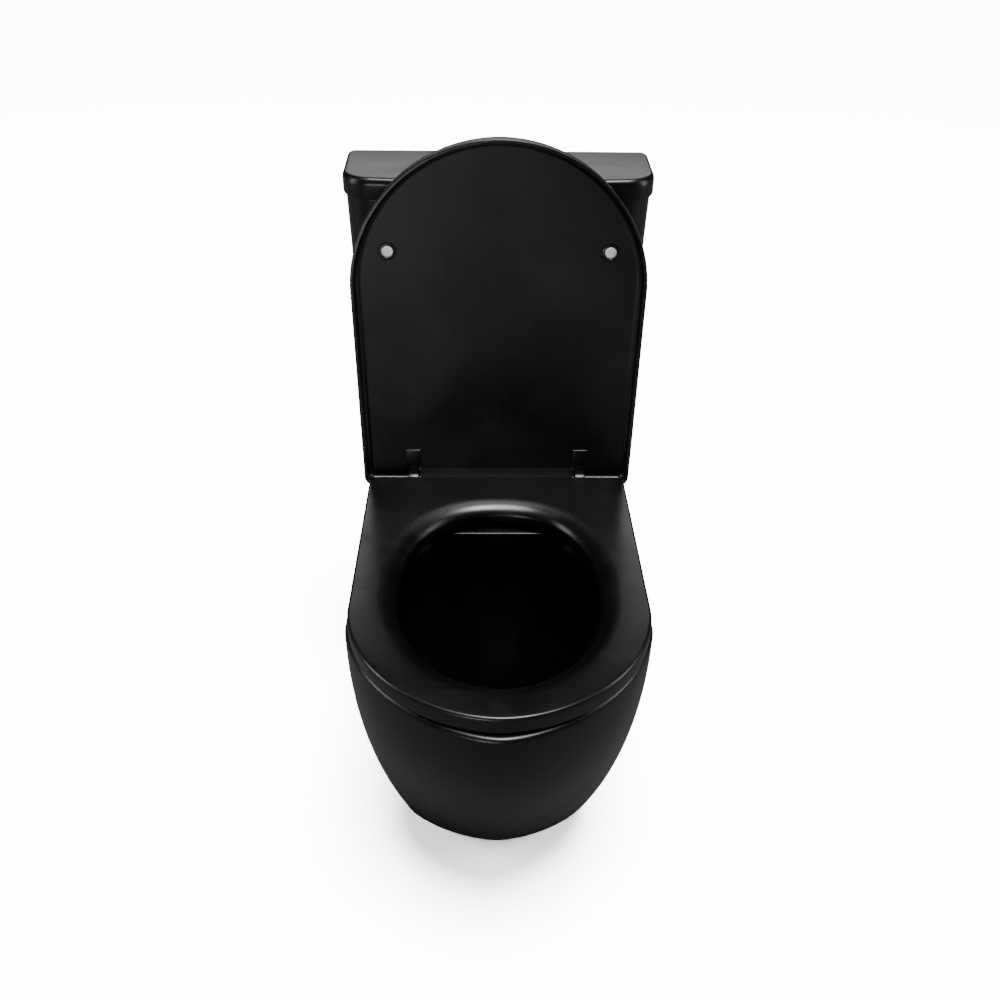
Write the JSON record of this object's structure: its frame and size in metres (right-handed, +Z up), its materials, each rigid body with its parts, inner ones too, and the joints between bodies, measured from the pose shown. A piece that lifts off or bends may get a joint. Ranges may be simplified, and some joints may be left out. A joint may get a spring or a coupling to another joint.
{
  "type": "close coupled toilet",
  "caption": "Floor-standing black toilet with a rimless bowl, a slim cistern fixed on the back of the pan, dual flush buttons, and a slow-close seat with its lid raised.",
  "frame": {"origin": "on the floor, under the middle of the object's footprint", "axes": "+Z up, +Y towards the wall, +X to the right of someone facing the toilet; the front of the bowl is at -Y"},
  "size_m": [0.388, 0.652, 0.8692],
  "materials": {
    "black_ceramic": "satin matt glaze",
    "black_plastic": "satin moulded",
    "white_silicone": "soft translucent white",
    "black_rubber": "matt",
    "white_plastic": "moulded",
    "grey_plastic": "moulded",
    "blue_plastic": "moulded",
    "stainless_steel": "fine brushed",
    "black_button_finish": "satin black"
  },
  "bodies": {
    "base": {"pan": "black_ceramic", "flush_guide": "black_ceramic", "floor_bracket_left": "stainless_steel", "floor_bracket_right": "stainless_steel", "skirt_screw_left": "stainless_steel", "skirt_screw_right": "stainless_steel", "skirt_cap_left": "black_plastic", "skirt_cap_right": "black_plastic", "cistern_tank": "black_ceramic", "coupling_gasket": "black_rubber", "coupling_washer_left": "black_rubber", "coupling_washer_right": "black_rubber", "coupling_bolt_left": "stainless_steel", "coupling_bolt_right": "stainless_steel", "coupling_wing_nut_left": "white_plastic", "coupling_wing_nut_right": "white_plastic", "flush_valve_seal": "black_rubber", "flush_valve_backnut": "white_plastic", "flush_valve_body": "white_plastic", "fill_valve_washer": "black_rubber", "fill_valve_backnut": "white_plastic", "fill_valve_body": "white_plastic", "hinge_post_left": "stainless_steel", "hinge_post_right": "stainless_steel", "hinge_stud_left": "stainless_steel", "hinge_stud_right": "stainless_steel", "hinge_nut_left": "white_plastic", "hinge_nut_right": "white_plastic", "hinge_pin_left": "stainless_steel", "hinge_pin_right": "stainless_steel"},
    "cistern_cap": {"cistern_lid": "black_ceramic", "button_bezel": "black_button_finish", "button_locknut": "white_plastic", "full_button_spring": "stainless_steel", "half_button_spring": "stainless_steel"},
    "full_button": {"full_flush_button": "black_button_finish", "full_push_rod": "white_plastic"},
    "half_button": {"half_flush_button": "black_button_finish", "half_push_rod": "white_plastic"},
    "canister": {"flush_canister": "blue_plastic", "canister_washer": "black_rubber"},
    "float": {"fill_valve_float": "grey_plastic"},
    "seat": {"seat_ring": "black_plastic", "seat_buffer_front_left": "black_rubber", "seat_buffer_front_right": "black_rubber", "seat_buffer_rear_left": "black_rubber", "seat_buffer_rear_right": "black_rubber"},
    "lid": {"seat_lid": "black_plastic", "lid_hinge_arm_left": "black_plastic", "lid_hinge_arm_right": "black_plastic", "lid_buffer_left": "white_silicone", "lid_buffer_right": "white_silicone"}
  },
  "joints": [
    {"name": "seat_hinge", "type": "hinge", "parent": "base", "child": "seat", "pos_m": [0, 0.118, 0.427], "axis": [-1, 0, 0], "range_deg": [0, 93]},
    {"name": "lid_hinge", "type": "hinge", "parent": "base", "child": "lid", "pos_m": [0, 0.118, 0.427], "axis": [-1, 0, 0], "range_deg": [-95.4, 0]},
    {"name": "cistern_lift", "type": "slide", "parent": "base", "child": "cistern_cap", "axis": [0, 0, 1], "range_m": [0, 0.08]},
    {"name": "full_flush_press", "type": "slide", "parent": "cistern_cap", "child": "full_button", "axis": [0, 0, -1], "range_m": [0, 0.006], "stiffness_N_per_m": 150, "springref_m": -0.01, "deforming": ["full_button_spring"]},
    {"name": "half_flush_press", "type": "slide", "parent": "cistern_cap", "child": "half_button", "axis": [0, 0, -1], "range_m": [0, 0.006], "stiffness_N_per_m": 150, "springref_m": -0.01, "deforming": ["half_button_spring"]},
    {"name": "flush_lift", "type": "slide", "parent": "base", "child": "canister", "axis": [0, 0, 1], "range_m": [0, 0.012]},
    {"name": "float_rise", "type": "slide", "parent": "base", "child": "float", "axis": [0, 0, 1], "range_m": [0, 0.03]}
  ],
  "couplings": [
    {"joint": "flush_lift", "follows": "full_flush_press", "ratio": 2}
  ]
}
